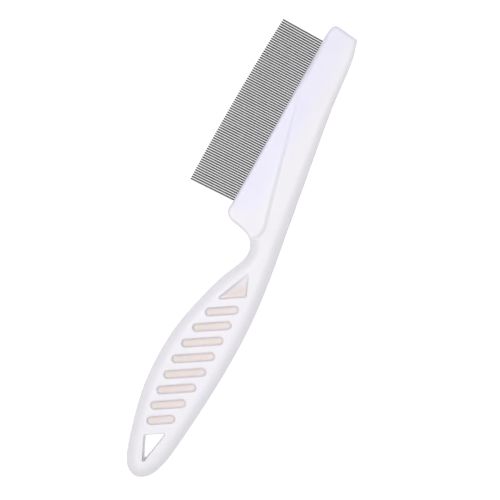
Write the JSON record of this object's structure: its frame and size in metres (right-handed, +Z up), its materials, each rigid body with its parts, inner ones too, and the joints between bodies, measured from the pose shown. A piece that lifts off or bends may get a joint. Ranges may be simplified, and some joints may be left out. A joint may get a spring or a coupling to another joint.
{
  "type": "flea comb",
  "caption": "Slim moulded comb with one close row of long steel pins, a finger notch and a slotted grip with a hang hole.",
  "frame": {"origin": "under the middle of the overall box, on the face that the comb lies on", "axes": "+X along the row of pins from the grip to the free end of the head, +Y the way the pins point, +Z up from the face it lies on"},
  "size_m": [0.186, 0.0464, 0.0084],
  "materials": {
    "handle_plastic": "satin white moulding",
    "seat_plastic": "milky moulded strip",
    "pin_steel": "drawn wire, polished tips"
  },
  "bodies": {
    "root": {"handle": "handle_plastic", "tooth_seat": "seat_plastic", "pin_pair_01": "pin_steel", "pin_pair_02": "pin_steel", "pin_pair_03": "pin_steel", "pin_pair_04": "pin_steel", "pin_pair_05": "pin_steel", "pin_pair_06": "pin_steel", "pin_pair_07": "pin_steel", "pin_pair_08": "pin_steel", "pin_pair_09": "pin_steel", "pin_pair_10": "pin_steel", "pin_pair_11": "pin_steel", "pin_pair_12": "pin_steel", "pin_pair_13": "pin_steel", "pin_pair_14": "pin_steel", "pin_pair_15": "pin_steel", "pin_pair_16": "pin_steel", "pin_pair_17": "pin_steel", "pin_pair_18": "pin_steel", "pin_pair_19": "pin_steel", "pin_pair_20": "pin_steel", "pin_pair_21": "pin_steel", "pin_pair_22": "pin_steel", "pin_pair_23": "pin_steel", "pin_pair_24": "pin_steel", "pin_pair_25": "pin_steel", "pin_pair_26": "pin_steel", "pin_pair_27": "pin_steel", "pin_pair_28": "pin_steel", "pin_pair_29": "pin_steel", "pin_pair_30": "pin_steel", "pin_pair_31": "pin_steel", "pin_pair_32": "pin_steel", "pin_pair_33": "pin_steel", "pin_pair_34": "pin_steel", "pin_pair_35": "pin_steel", "pin_pair_36": "pin_steel", "pin_pair_37": "pin_steel", "pin_pair_38": "pin_steel"}
  },
  "joints": []
}
